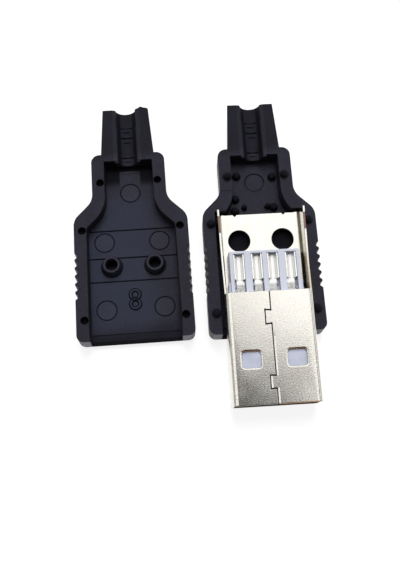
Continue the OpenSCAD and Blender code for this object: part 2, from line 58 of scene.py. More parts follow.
CHAMBER_SHOULDER = (16.8, 21.3)  # where the cavity narrows into the chamber
RIB_EDGES = (2.52, 4.18, 7.45)  # measured from the neck's end
MARK_RADIUS = 1.41

# The socket cover: its floor steps, sockets, hollow bosses, ejector marks and the two loops of its figure.
FLOOR_STEPS = (9.0, 12.45, 16.6)
SOCKET_END_FLOOR = 1.99
SOCKET_WALL_FOOT = 2.05
SOCKET_RADIUS = 0.62
BOSSES = ((-3.07, 11.15), (3.07, 11.15))
BOSS_TOP = (2.7, 2.9)
BOSS_TOP_RADIUS = 1.06
BOSS_FOOT_RADIUS = 1.47
BOSS_SURROUND = 1.6
SOCKET_MARKS = ((0.05, 22.35), (-4, 14.85), (3.9, 14.75), (-4.05, 4.85), (4.1, 4.95))
MARK_FACE_RADIUS = 1.34
FIGURE_LOOPS = ((0, 5.555), (0, 6.945))
FIGURE_RADII = (0.44, 0.86)

# The pin cover: its floor, ejector mark, speck, rim scratch, and small posts, each with its shade's radius.
PIN_FLOOR = 1.65
PIN_WALL_FOOT = 1.75
PIN_MARK = (0, 23.3)
PIN_SHADE_RADIUS = 0.78
PALE_SPECK = (1.35, 22.35)
POST_TOP = (2.7, 2.8)
RIM_SCRATCH = 21.2
RIM_SCRATCH_SPAN = (-5.4, -3.4)
POSTS = (((-2.6, 24.35), 0.75), ((2.65, 24.05), 0.75), ((-3.05, 20.65), 0.75), ((-3.2, 18.75), 0.78),
         ((2.5, 19.2), 0.78), ((-1.8, 19.3), 0.5), ((1.6, 19.35), 0.5))

# The plug, in millimetres of its own frame: x across, y back from the mating tip, z up from the underside.
TUBE_BACK = 15.2
ON_TUBE = (4.1, 4.3)  # heights over which a mask fades in for the tube's top wall
WINDOWS = ((-3.07, 6.0), (3.07, 6.0))
WINDOW_SIZE = (2.6, 2.25)
WINDOW_CORNER = 0.45
TUBE_INSIDE_HALF = 5.74
SEAM_TABS = ((2.1, 3.7), (10.75, 12.5))
TAB_REACH = 0.8
RAW_ENDS = (24.1, 26.5)
RAW_NOTCH_HEIGHT = 3.02
TAIL_WALL = (5.4, 5.6)
TAIL_FOOT_TOP = 2.6
TAIL_FOOT_DROP = 1.3  # how much lower the foot's painted shade gets towards the back
NECK_START = (14.8, 15.0)
CONTACT_ROWS = (-3.5, -1.0, 1.0, 3.5)

# Colours, as linear red, green, blue and alpha.
PLASTIC = (0.0135, 0.0120, 0.0185, 1)
PLASTIC_CLOUDED = (0.0180, 0.0180, 0.0290, 1)
# A bluer, paler tint on the covers' floors.
PLASTIC_BLUE_TINT = (0.0210, 0.0250, 0.0430, 1)
PLASTIC_GRAIN = (0.040, 0.040, 0.056, 1)
# Painted highlight on the groove's bevels and the bosses' tops, also used for the paler hatching and speck.
PLASTIC_HIGHLIGHT_AND_PALE_MARKS = (0.045, 0.045, 0.062, 1)
# Painted light on the end faces, which the white table lights.
PLASTIC_END_FACE_LIGHT = (0.13, 0.135, 0.16, 1)
PLASTIC_SHADE = (0.0022, 0.0020, 0.0030, 1)
NICKEL = (0.82, 0.79, 0.72, 1)
NICKEL_CLOUDED = (0.88, 0.86, 0.80, 1)
NICKEL_ROSE = (0.82, 0.74, 0.72, 1)
NICKEL_GREEN = (0.70, 0.74, 0.60, 1)
NICKEL_SPECKLE = (0.40, 0.38, 0.36, 1)
NICKEL_STRAW = (0.50, 0.40, 0.20, 1)
# Painted shade at the foot of the tail's right wall.
NICKEL_FOOT_SHADE = (0.12, 0.10, 0.05, 1)
RAW_COPPER = (0.50, 0.25, 0.11, 1)
RAW_NOTCH = (0.14, 0.06, 0.04, 1)
TUBE_SHADE = (0.10, 0.08, 0.06, 1)
SEAM_SHADE = (0.03, 0.025, 0.02, 1)
INSULATOR = (0.43, 0.46, 0.57, 1)
INSULATOR_CLOUDED = (0.52, 0.55, 0.66, 1)
# Painted light on the insulator behind the tube.
INSULATOR_LIT = (0.62, 0.63, 0.70, 1)
INSULATOR_SHADE = (0.03, 0.03, 0.035, 1)
TIN = (0.78, 0.77, 0.74, 1)
TIN_CLOUDED = (0.93, 0.93, 0.91, 1)
TIN_NECK_GREY = (0.50, 0.50, 0.48, 1)
TIN_DARK = (0.22, 0.22, 0.21, 1)
TABLE = (0.82, 0.82, 0.82, 1)
TABLE_SEEN = (0.26, 0.26, 0.26, 1)
WHITE = (1, 1, 1, 1)

# How strongly the plain surfaces mirror, and how far grain and rolled edges stand out, in metres.
PLASTIC_SHINE = 0.16
INSULATOR_SHINE = 0.3
PLASTIC_GRAIN_HEIGHT = 0.02 * MM
NICKEL_GRAIN_HEIGHT = 0.02 * MM
WINDOW_ROLL_HEIGHT = 0.03 * MM
INSULATOR_GRAIN_HEIGHT = 0.015 * MM
TIN_GRAIN_HEIGHT = 0.015 * MM

# Widths of the rounding and the distance at which points merge, in millimetres, and crisp or sharp angles.
COVER_ROUNDING = 0.06
SHELL_ROUNDING = 0.07
INSULATOR_ROUNDING = 0.04
CONTACT_ROUNDING = 0.03
FLASH_ROUNDING = 0.05
MERGE_DISTANCE = 0.002
CRISP_ANGLE = 32
FLASH_CRISP_ANGLE = 57
FLASH_SHARP_ANGLE = 40

# Cosines of angles between normals: a rounded or a plain face blends with the plain neighbours within its
# reach, a face that has none takes any neighbour within the spare reach, and past the last two count as one.
ROUNDED_REACH = 0.35
PLAIN_REACH = 0.82
SPARE_REACH = 0.5
SAME_DIRECTION = 0.9998

# The neck flash, in the socket cover's frame: its outline, where its underside stops, and its bottom and top.
FLASH_OUTLINE = ((1.38, 34.9), (1.5, 35.10), (1.72, 35.16), (1.9, 35.24), (2.08, 35.40), (2.3, 35.45),
                 (2.5, 35.38), (2.7, 35.27), (3.0, 35.24), (3.22, 35.16), (3.34, 34.9))
FLASH_UNDERSIDE_END = 35.2
FLASH_BOTTOM = 3.1
FLASH_TOP = 3.97

# The studio, by direction: x and z are parts of a unit direction, and a lean is the angle in radians from
# straight up towards the cable ends.
ROOM_LEVEL = 0.08
WALL_LEVEL = 0.61
WALL_TOP = (0.08, 0.34)
BACKDROP_TOP = (0.38, 0.44)
BACK_LIGHT_LEVEL = 1.30
BACK_LIGHT_SLANT = 0.37
BACK_LIGHT_START = (0.026, 0.172)
BACK_LIGHT_END = (0.30, 1.1)
BACK_LIGHT_SIDES = ((-0.50, -0.05), (0.30, 0.45))
SIDE_LIGHT_LEVEL = 1.12
RIGHT_LIGHT = (0.24, 0.82)
LEFT_LIGHT = (-0.82, -0.12)
SIDE_LIGHT_LEAN = 0.10
SIDE_LIGHT_LEAN_HALF = 0.24

# The table top, in metres: half its width, and its own glow where it is seen.
TABLE_HALF = 1.5
TABLE_GLOW = 0.82

# The camera, in metres and degrees, with its lens in millimetres.
CAMERA_PLACE = (-0.003539, -0.035179, 0.101912)
CAMERA_TURN = (17.0108, -1.1515, -3.2754)
CAMERA_LENS = 46.663
CAMERA_SENSOR = 36.0

VALUE = "NodeSocketFloat"
VECTOR = "NodeSocketVector"
COLOUR = "NodeSocketColor"

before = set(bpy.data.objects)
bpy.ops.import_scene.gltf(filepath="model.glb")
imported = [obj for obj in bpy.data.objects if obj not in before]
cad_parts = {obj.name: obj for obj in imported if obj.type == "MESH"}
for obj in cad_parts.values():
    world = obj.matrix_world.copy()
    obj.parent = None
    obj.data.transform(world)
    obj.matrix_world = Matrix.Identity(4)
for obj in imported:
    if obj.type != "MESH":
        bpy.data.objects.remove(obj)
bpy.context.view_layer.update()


# ---------------------------------------------------------------- node wiring

def put(tree, slot, value):
    """Links a socket to another node's output, or gives it a plain value."""
    if isinstance(value, bpy.types.NodeSocket):
        tree.links.new(value, slot)
    else:
        slot.default_value = value


def math_node(tree, operation, a, b=0.0, clamp=False):
    node = tree.nodes.new("ShaderNodeMath")
    node.operation = operation
    node.use_clamp = clamp
    put(tree, node.inputs[0], a)
    put(tree, node.inputs[1], b)
    return node.outputs[0]


def mix_colour(tree, factor, a, b):
    node = tree.nodes.new("ShaderNodeMix")
    node.data_type = "RGBA"
    for index, value in ((0, factor), (6, a), (7, b)):
        put(tree, node.inputs[index], value)
    return node.outputs[2]


def split(tree, vector):
    """The x, y and z of a vector."""
    node = tree.nodes.new("ShaderNodeSeparateXYZ")
    tree.links.new(vector, node.inputs["Vector"])
    return [node.outputs[axis] for axis in "XYZ"]


def new_material(name):
    """A material with a bare Principled surface; gives the material, its nodes and that surface."""
    material = bpy.data.materials.new(name)
    material.use_nodes = True
    tree = material.node_tree
    tree.nodes.clear()
    output = tree.nodes.new("ShaderNodeOutputMaterial")
    bsdf = tree.nodes.new("ShaderNodeBsdfPrincipled")
    tree.links.new(bsdf.outputs["BSDF"], output.inputs["Surface"])
    return material, tree, bsdf


def new_group(name, inputs, outputs):
    """An empty node group with named and typed sockets; gives the group, its inputs and its outputs."""
    group = bpy.data.node_groups.new(name, "ShaderNodeTree")
    for socket, kind in inputs:
        group.interface.new_socket(name=socket, in_out="INPUT", socket_type=kind)
    for socket, kind in outputs:
        group.interface.new_socket(name=socket, in_out="OUTPUT", socket_type=kind)
    start = group.nodes.new("NodeGroupInput")
    end = group.nodes.new("NodeGroupOutput")
    return group, start.outputs, end.inputs


def use_group(tree, group, **inputs):
    """Places a node group, with its named inputs joined or set, and gives its outputs."""
    node = tree.nodes.new("ShaderNodeGroup")
    node.node_tree = group
    for name, value in inputs.items():
        put(tree, node.inputs[name], value)
    return node.outputs


def bump(tree, height, distance, strength, normal=None):
    node = tree.nodes.new("ShaderNodeBump")
    node.inputs["Strength"].default_value = strength
    node.inputs["Distance"].default_value = distance
    tree.links.new(height, node.inputs["Height"])
    if normal is not None:
        tree.links.new(normal, node.inputs["Normal"])
    return node.outputs["Normal"]


def steadied(tree, mask, direction, normal=None):
    """The surface normal, turned towards one direction by a mask."""
    if normal is None:
        normal = tree.nodes.new("ShaderNodeNewGeometry").outputs["Normal"]
    blend = tree.nodes.new("ShaderNodeMix")
    blend.data_type = "VECTOR"
    tree.links.new(mask, blend.inputs[0])
    tree.links.new(normal, blend.inputs[4])
    blend.inputs[5].default_value = direction
    unit = tree.nodes.new("ShaderNodeVectorMath")
    unit.operation = "NORMALIZE"
    tree.links.new(blend.outputs[1], unit.inputs[0])
    return unit.outputs["Vector"]


# ---------------------------------------------------------------- masks

def placing(name):
    """The move from a piece's own frame to the layout, in millimetres."""
    at, turn = PLACES[name]
    spin = Matrix.Rotation(math.radians(turn[2]), 4, "Z") @ Matrix.Rotation(math.radians(turn[0]), 4, "X")
    return Matrix.Translation(Vector(at)) @ spin


def own_place(tree, name):
    """A point in the named piece's own frame, in millimetres: the vector, and its x, y and z."""
    at, turn = PLACES[name]
    mapping = tree.nodes.new("ShaderNodeMapping")
    mapping.vector_type = "TEXTURE"
    mapping.inputs["Location"].default_value = [v * MM for v in at]
    mapping.inputs["Rotation"].default_value = [math.radians(v) for v in turn]
    mapping.inputs["Scale"].default_value = (MM, MM, MM)
    tree.links.new(tree.nodes.new("ShaderNodeTexCoord").outputs["Object"], mapping.inputs["Vector"])
    return mapping.outputs["Vector"], *split(tree, mapping.outputs["Vector"])


def ramp(tree, value, low, high):
    """A smooth mask that is 0 below low and 1 above high."""
    node = tree.nodes.new("ShaderNodeMapRange")
    node.interpolation_type = "SMOOTHSTEP"
    node.inputs["From Min"].default_value = low
    node.inputs["From Max"].default_value = high
    tree.links.new(value, node.inputs["Value"])
    return node.outputs["Result"]


def times(tree, *masks):
    """Masks and strengths multiplied: 1 only where all of them are."""
    result = masks[0]
    for mask in masks[1:]:
        result = math_node(tree, "MULTIPLY", result, mask)
    return result


def either(tree, *masks):
    """The strongest of several masks."""
    result = masks[0]
    for mask in masks[1:]:
        result = math_node(tree, "MAXIMUM", result, mask)
    return result


def without(tree, mask):
    """The mask turned round: 1 where it is 0."""
    return math_node(tree, "SUBTRACT", 1.0, mask)


def fade(tree, value, low, high):
    """A smooth mask that is 1 below low and 0 above high."""
    return without(tree, ramp(tree, value, low, high))


def between(tree, value, rise, fall):
    """A mask that fades in over the span rise and out over the span fall."""
    return times(tree, ramp(tree, value, *rise), fade(tree, value, *fall))


def near(tree, value, at, half, soft):
    """A line: 1 within half of a value, and 0 beyond soft more."""
    away = math_node(tree, "ABSOLUTE", math_node(tree, "SUBTRACT", value, at))
    return fade(tree, away, half, half + soft)


def within(tree, value, low, high, soft):
    """A band from low to high, with a fade of width soft centred on each end."""
    return near(tree, value, (low + high) / 2, (high - low) / 2 - soft / 2, soft)


def distance(tree, x, y, at):
    """How far a point lies from an upright line through a place."""
    dx = math_node(tree, "SUBTRACT", x, at[0])
    dy = math_node(tree, "SUBTRACT", y, at[1])
    squares = math_node(tree, "ADD", times(tree, dx, dx), times(tree, dy, dy))
    return math_node(tree, "SQRT", squares)


def rings(tree, x, y, places, radius, half, soft):
    """Rings round the given places, each 1 within half of the radius."""
    return either(tree, *[near(tree, distance(tree, x, y, at), radius, half, soft) for at in places])


def discs(tree, x, y, places, radius, soft=0.08):
    """Round patches at the given places, which fade out just inside the radius."""
    return either(tree, *[fade(tree, distance(tree, x, y, at), radius - soft, radius) for at in places])


def past_corners(tree, x, y, at, size, radius):
    """How far a point lies outside an upright rectangle with round corners; below zero inside."""
    over = []
    for value, middle, full in ((x, at[0], size[0]), (y, at[1], size[1])):
        away = math_node(tree, "ABSOLUTE", math_node(tree, "SUBTRACT", value, middle))
        over.append(math_node(tree, "MAXIMUM", math_node(tree, "SUBTRACT", away, full / 2 - radius), 0.0))
    return math_node(tree, "SUBTRACT", distance(tree, over[0], over[1], (0, 0)), radius)


# ---------------------------------------------------------------- effects that materials share

def make_surface_grain():
    """Fine surface grain at a size in millimetres, with a slower cloudiness on top."""
    group, given, out = new_group(
        "surface_grain",
        [("Place", VECTOR), ("Grain", VALUE), ("Cloud", VALUE)],
        [("Grain", VALUE), ("Cloud", VALUE)])
    for name, detail in (("Grain", 4.0), ("Cloud", 3.0)):
        node = group.nodes.new("ShaderNodeTexNoise")
        node.inputs["Detail"].default_value = detail
        group.links.new(given["Place"], node.inputs["Vector"])
        group.links.new(math_node(group, "DIVIDE", 1.0, given[name]), node.inputs["Scale"])
        group.links.new(node.outputs["Fac"], out[name])
    return group


SURFACE_GRAIN = make_surface_grain()


def groove_lines(tree, x, y, z):
    """Painted shade: dark lines along the cable groove's ribs and up its sides, and over the whole neck."""
    ribs = times(tree, near(tree, x, 0, GROOVE_BOTTOM_HALF, 0.14), ramp(tree, z, 1.5, 1.7),
                 either(tree, *[near(tree, y, NECK_END - back, 0.12, 0.10) for back in RIB_EDGES]))
    sides = times(tree, within(tree, math_node(tree, "ABSOLUTE", x), *GROOVE_SIDES, 0.2),
                  ramp(tree, y, CHAMBER_END - 0.4, CHAMBER_END - 0.2), ramp(tree, z, 1.9, 2.1), 0.85)
    neck = times(tree, ramp(tree, y, CHAMBER_END - 0.2, CHAMBER_END + 1.8), 0.42)
    return either(tree, ribs, sides, neck)


def groove_bevels(tree, x, y, z):
    """Painted highlight on the bevels beside the cable groove."""
    return times(tree, within(tree, math_node(tree, "ABSOLUTE", x), *GROOVE_BEVELS, 0.1),
                 ramp(tree, y, CHAMBER_END, CHAMBER_END + 0.1), ramp(tree, z, *GROOVE_BEVEL_HEIGHT), 0.32)


def front_lip(tree, x, y, z):
    """Painted shade in bands on the sloping front lip, strongest at its front."""
    slope = times(tree, near(tree, y, LIP_SLOPE, 0.72, 0.1), 0.35)
    crease = near(tree, y, LIP_CREASE, 0.03, 0.06)
    front = times(tree, fade(tree, y, LIP_SLOPE - 0.15, LIP_SLOPE), 0.75)
    return times(tree, near(tree, x, 0, LIP_HALF, 0.05), fade(tree, z, *LIP_TOP),
                 either(tree, slope, crease, front))


def lit_front_faces(tree, x, y, z):
    """Painted light on the end faces beside the front lip, which the white table lights."""
    return times(tree, without(tree, near(tree, x, 0, LIP_HALF, 0.05)), fade(tree, y, 0.05, 0.1),
                 fade(tree, z, *UNDER_RIM))


def cavity_walls(tree, x, y, z, foot):
    """Painted shade on the walls round the cavity, from their foot to just below the rim, and fainter round
    the chamber.
    """
    narrowing = times(tree, ramp(tree, y, *CHAMBER_SHOULDER), CHAMBER_NARROWING)
    limit = math_node(tree, "SUBTRACT", WALL_REACH, narrowing)
    inward = math_node(tree, "SUBTRACT", limit, math_node(tree, "ABSOLUTE", x))
    strength = math_node(tree, "ADD", 0.35, times(tree, fade(tree, y, 18.5, 21.0), 0.65))
    over_foot = ramp(tree, math_node(tree, "SUBTRACT", z, foot), -0.04, 0.04)
    return times(tree, ramp(tree, inward, 0, 0.05), over_foot, fade(tree, z, 3.88, 3.96),
                 within(tree, y, 0.05, CHAMBER_END + 0.1, 0.05), strength)


def make_cover_light_and_shade():
    """What both covers share, painted light and shade: dark shaded lines, highlights on the bevels, light on
    the front faces, and shaded walls over a given foot.
    """
    group, given, out = new_group(
        "cover_light_and_shade",
        [("Place", VECTOR), ("Foot", VALUE)],
        [("Dark", VALUE), ("Light", VALUE), ("Pale", VALUE), ("Walls", VALUE)])
    place = split(group, given["Place"])
    dark = either(group, groove_lines(group, *place), front_lip(group, *place))
    group.links.new(dark, out["Dark"])
    group.links.new(groove_bevels(group, *place), out["Light"])
    group.links.new(lit_front_faces(group, *place), out["Pale"])
    group.links.new(cavity_walls(group, *place, given["Foot"]), out["Walls"])
    return group


def make_moulded_plastic():
    """Near-black moulded plastic, with masks of its painted shade, painted highlights and paler marks, a
    bluer tint, painted light on the end faces, and hatching.
    """
    group, given, out = new_group(
        "moulded_plastic",
        [("Place", VECTOR), ("Dark", VALUE), ("Light", VALUE), ("Bloom", VALUE), ("Pale", VALUE),
         ("Hatch", VALUE)],
        [("Colour", COLOUR), ("Roughness", VALUE), ("Height", VALUE)])
    grain = use_group(group, SURFACE_GRAIN, Place=given["Place"], Grain=0.3, Cloud=5.0)
    colour = mix_colour(group, ramp(group, grain["Cloud"], 0.3, 0.7), PLASTIC, PLASTIC_CLOUDED)
    colour = mix_colour(group, given["Bloom"], colour, PLASTIC_BLUE_TINT)
    colour = mix_colour(group, ramp(group, grain["Grain"], 0.25, 0.75), colour,
                        mix_colour(group, 0.22, colour, PLASTIC_GRAIN))
    # Painted highlights, with the paler hatching and speck.
    colour = mix_colour(group, given["Light"], colour, PLASTIC_HIGHLIGHT_AND_PALE_MARKS)
    # Painted light on the end faces.
    colour = mix_colour(group, given["Pale"], colour, PLASTIC_END_FACE_LIGHT)
    colour = mix_colour(group, given["Dark"], colour, PLASTIC_SHADE)
    rough = math_node(group, "ADD", times(group, grain["Cloud"], 0.14), 0.40)
    rough = math_node(group, "ADD", rough, times(group, given["Dark"], 0.45), clamp=True)
    group.links.new(colour, out["Colour"])
    group.links.new(rough, out["Roughness"])
    group.links.new(math_node(group, "ADD", grain["Grain"], given["Hatch"]), out["Height"])
    return group


COVER_LIGHT_AND_SHADE = make_cover_light_and_shade()
MOULDED_PLASTIC = make_moulded_plastic()


# ---------------------------------------------------------------- the covers' plastic

def finish_plastic(tree, bsdf, **masks):
    """Joins the moulded plastic, with its masks, to a cover's surface."""
    plastic = use_group(tree, MOULDED_PLASTIC, **masks)
    put(tree, bsdf.inputs["Base Color"], plastic["Colour"])
    put(tree, bsdf.inputs["Roughness"], plastic["Roughness"])
    put(tree, bsdf.inputs["Normal"], bump(tree, plastic["Height"], PLASTIC_GRAIN_HEIGHT, 0.35))
    bsdf.inputs["Specular IOR Level"].default_value = PLASTIC_SHINE


def socket_floor_lines(tree, x, y, z):
    """Painted shade at the floor's steps and round its marks, figure and bosses' feet, painted shadows in the
    chamber's corners and at its end, and a faint dark line across the chamber's middle.
    """
    steps = either(tree, *[near(tree, y, at, 0.05, 0.09) for at in FLOOR_STEPS])
    marks = rings(tree, x, y, SOCKET_MARKS, MARK_RADIUS, 0.05, 0.08)
    figure = either(tree, *[rings(tree, x, y, FIGURE_LOOPS, radius, 0.05, 0.07) for radius in FIGURE_RADII])
    feet = rings(tree, x, y, BOSSES, BOSS_FOOT_RADIUS, 0.07, 0.12)
    end_floor = near(tree, z, SOCKET_END_FLOOR, 0.25, 0.1)
    beside_groove = without(tree, within(tree, x, -1.4, 1.6, 0.16))
    # Painted shadows in the chamber's corners beside the cable path, and at the end wall's foot.
    corner_shadows = times(tree, ramp(tree, y, 23.1, 24.5), end_floor, beside_groove)
    end_foot = times(tree, near(tree, y, CHAMBER_END, 0.75, 0.2), end_floor)
    end_line = times(tree, near(tree, y, CHAMBER_END - 1.25, 0.04, 0.08), near(tree, x, 0.1, 1.2, 0.2))
    return either(tree, times(tree, steps, 0.75), times(tree, marks, 0.65), figure, times(tree, feet, 0.8),
                  times(tree, corner_shadows, 0.85), end_foot, times(tree, end_line, 0.45))


def ejector_hatching(tree, vector, x, y):
    """Fine slanted hatching on the faces of the ejector marks."""
    wave = tree.nodes.new("ShaderNodeTexWave")
    wave.bands_direction = "DIAGONAL"
    wave.inputs["Scale"].default_value = 1.1
    wave.inputs["Distortion"].default_value = 0.6
    tree.links.new(vector, wave.inputs["Vector"])
    return times(tree, discs(tree, x, y, SOCKET_MARKS, MARK_FACE_RADIUS), wave.outputs["Fac"])


def socket_cover_plastic():
    """The socket cover's plastic, with painted shade in its floor marks, sockets and walls, painted
    highlights on the bosses' tops, hatching and a bluer tint.
    """
    material, tree, bsdf = new_material("socket_cover_plastic")
    vector, x, y, z = own_place(tree, "socket_cover")
    beside = math_node(tree, "ABSOLUTE", x)
    shared = use_group(tree, COVER_LIGHT_AND_SHADE, Place=vector, Foot=SOCKET_WALL_FOOT)
    on_floor = times(tree, near(tree, x, 0, FLOOR_HALF, 0.05), within(tree, z, 1.2, 2.4, 0.1))
    floor_lines = times(tree, on_floor, socket_floor_lines(tree, x, y, z))
    # Painted shade inside the sockets, and on the walls and the chamber's end wall.
    sockets = times(tree, discs(tree, beside, y, PIN_ROWS, SOCKET_RADIUS, 0.06),
                    fade(tree, z, *UNDER_RIM), 0.85)
    walls = times(tree, shared["Walls"], without(tree, discs(tree, x, y, BOSSES, BOSS_SURROUND)), 0.6)
    end_wall = times(tree, within(tree, y, CHAMBER_END - 0.2, CHAMBER_END + 0.2, 0.1),
                     ramp(tree, beside, 1.5, 1.7), within(tree, z, 1.9, 3.92, 0.1), 0.9)
    hatch = times(tree, on_floor, ejector_hatching(tree, vector, x, y))
    # Painted highlight in a ring on the bosses' tops.
    boss_top_highlights = times(tree, rings(tree, x, y, BOSSES, BOSS_TOP_RADIUS, 0.05, 0.1),
                      ramp(tree, z, *BOSS_TOP), 0.5)
    # A bluer tint on the floor, strongest on its left half.
    blue_tint = times(tree, on_floor, near(tree, y, 12.0, 8.0, 4.0), fade(tree, x, 0.5, 5.0), 0.9)
    finish_plastic(tree, bsdf, Place=vector,
                   Dark=either(tree, shared["Dark"], floor_lines, sockets, walls, end_wall),
                   Light=either(tree, shared["Light"], times(tree, hatch, 0.34), boss_top_highlights),
                   Bloom=blue_tint, Pale=shared["Pale"], Hatch=times(tree, hatch, 0.6))
    return material


def pin_cover_plastic():
    """The pin cover's plastic, shaded round its pins, posts and mark and below the plug."""
    material, tree, bsdf = new_material("pin_cover_plastic")
    vector, x, y, z = own_place(tree, "pin_cover")
    beside = math_node(tree, "ABSOLUTE", x)
    shared = use_group(tree, COVER_LIGHT_AND_SHADE, Place=vector, Foot=PIN_WALL_FOOT)
    on_floor = times(tree, near(tree, x, 0, FLOOR_HALF, 0.05), near(tree, z, PIN_FLOOR, 0.3, 0.1))
    mark = times(tree, on_floor, rings(tree, x, y, (PIN_MARK,), MARK_RADIUS, 0.07, 0.09),
                 ramp(tree, y, 22.6, 23.8), 0.65)
    rim_scratch = times(tree, near(tree, y, RIM_SCRATCH, 0.04, 0.06), within(tree, x, *RIM_SCRATCH_SPAN, 0.2),
                        ramp(tree, z, *ON_RIM), 0.5)
    pins = times(tree, discs(tree, beside, y, PIN_ROWS, PIN_SHADE_RADIUS, 0.2), ramp(tree, z, *ON_RIM), 0.75)
    round_posts = either(tree, *[discs(tree, x, y, (at,), radius, 0.2) for at, radius in POSTS])
    posts = times(tree, round_posts, fade(tree, z, *POST_TOP), 0.75)
    under_plug = times(tree, on_floor, between(tree, y, (11.5, 13.4), (15.5, 16.5)), 0.8)
    walls = times(tree, shared["Walls"], without(tree, round_posts), 0.6)
    speck = times(tree, on_floor, discs(tree, x, y, (PALE_SPECK,), 0.12, 0.06))
    finish_plastic(tree, bsdf, Place=vector,
                   Dark=either(tree, shared["Dark"], mark, rim_scratch, pins, posts, under_plug, walls),
                   Light=either(tree, shared["Light"], speck),
                   Bloom=times(tree, on_floor, 0.1), Pale=shared["Pale"])
    return material


# ---------------------------------------------------------------- the plug's metals and insulator

def plating(tree, vector, grain, y, z):
    """The plating's colour: cloudy, tinted in patches, and finely speckled, most of all on the tube."""
    tint = use_group(tree, SURFACE_GRAIN, Place=vector, Grain=3.1, Cloud=1.3)
    colour = mix_colour(tree, ramp(tree, grain["Cloud"], 0.3, 0.7), NICKEL, NICKEL_CLOUDED)
    colour = mix_colour(tree, times(tree, ramp(tree, tint["Grain"], 0.5, 0.72), 0.35), colour, NICKEL_ROSE)
    colour = mix_colour(tree, times(tree, ramp(tree, tint["Cloud"], 0.52, 0.75), 0.3), colour, NICKEL_GREEN)
    on_tube = times(tree, fade(tree, y, 3.0, 13.0), ramp(tree, z, *ON_TUBE))
    amount = math_node(tree, "ADD", times(tree, on_tube, 0.34), 0.20)
    speckle = times(tree, fade(tree, grain["Grain"], 0.36, 0.60), amount)
    return mix_colour(tree, speckle, colour, NICKEL_SPECKLE)


def window_edges(tree, x, y, z):
    """The windows' rolled lips, and the raw copper where their back edges were cut."""
    rolls, cuts = [], []
    for at in WINDOWS:
        out = past_corners(tree, x, y, at, WINDOW_SIZE, WINDOW_CORNER)
        rolls.append(times(tree, fade(tree, out, -0.02, 0.22), ramp(tree, z, 4.2, 4.3)))
        cuts.append(times(tree, near(tree, out, 0.06, 0.1, 0.06), ramp(tree, y, 6.95, 7.1),
                          ramp(tree, z, 4.0, 4.1)))
    return either(tree, *rolls), either(tree, *cuts)


def tube_seam(tree, x, y, z):
    """The locked seam with its two tabs, and the raised lip along its front half."""
    tabs = either(tree, *[within(tree, y, start, end, 0.04) for start, end in SEAM_TABS])
    beside_seam = math_node(tree, "ADD", x, times(tree, tabs, TAB_REACH))
    turns = [near(tree, y, at, 0.07, 0.05) for start, end in SEAM_TABS for at in (start - 0.07, end + 0.07)]
    crossings = times(tree, either(tree, *turns), within(tree, x, -0.9, 0.1, 0.05))
    on_top = ramp(tree, z, 4.1, 4.2)
    line = times(tree, either(tree, near(tree, beside_seam, 0, 0.05, 0.04), crossings), on_top, 0.9)
    lip = times(tree, within(tree, beside_seam, 0.06, 0.32, 0.06), fade(tree, y, 8.0, 10.0), on_top)
    return line, lip


def tube_front(tree, x, y, z):
    """The tube's front edge, raw copper on the right, and the shade on its left and inside the tube."""
    on_top = ramp(tree, z, *ON_TUBE)
    copper = times(tree, fade(tree, y, 0.09, 0.16), ramp(tree, x, -0.5, 0.5), on_top)
    edge = times(tree, fade(tree, y, 0.05, 0.12), fade(tree, x, -0.5, 0.5), on_top, 0.7)
    inner = times(tree, near(tree, x, 0, TUBE_INSIDE_HALF, 0.06), within(tree, z, 0.2, 4.3, 0.08),
                  within(tree, y, 0.03, TUBE_BACK - 0.1, 0.06), 0.85)
    return copper, either(tree, inner, edge)


def tail_stains_and_shade(tree, x, y, z):
    """On the tail: the straw tint, painted shade at the foot of its right wall, and the raw notches of the
    ears.
    """
    straw = times(tree, between(tree, x, TAIL_WALL, (5.9, 6.05)), ramp(tree, z, 0.5, 1.0),
                  between(tree, y, (TUBE_BACK, TUBE_BACK + 0.4), (18, 24)), 0.7)
    # Painted shade at the right wall's foot, reaching less high towards the back.
    drop = times(tree, ramp(tree, y, 16.5, 20.5), TAIL_FOOT_DROP)
    foot_top = math_node(tree, "SUBTRACT", TAIL_FOOT_TOP, drop)
    below_top = fade(tree, math_node(tree, "SUBTRACT", z, foot_top), -0.3, 0.3)
    foot = times(tree, ramp(tree, x, TAIL_WALL[0], TAIL_WALL[0] + 0.08), ramp(tree, z, 0.3, 0.4), below_top,
                 ramp(tree, y, TUBE_BACK, TUBE_BACK + 0.2), 0.85)
    notches = times(tree, within(tree, y, RAW_ENDS[0] - 0.1, RAW_ENDS[1] + 0.1, 0.2),
                    near(tree, z, RAW_NOTCH_HEIGHT, 0.05, 0.05), 0.9)
    return straw, foot, notches


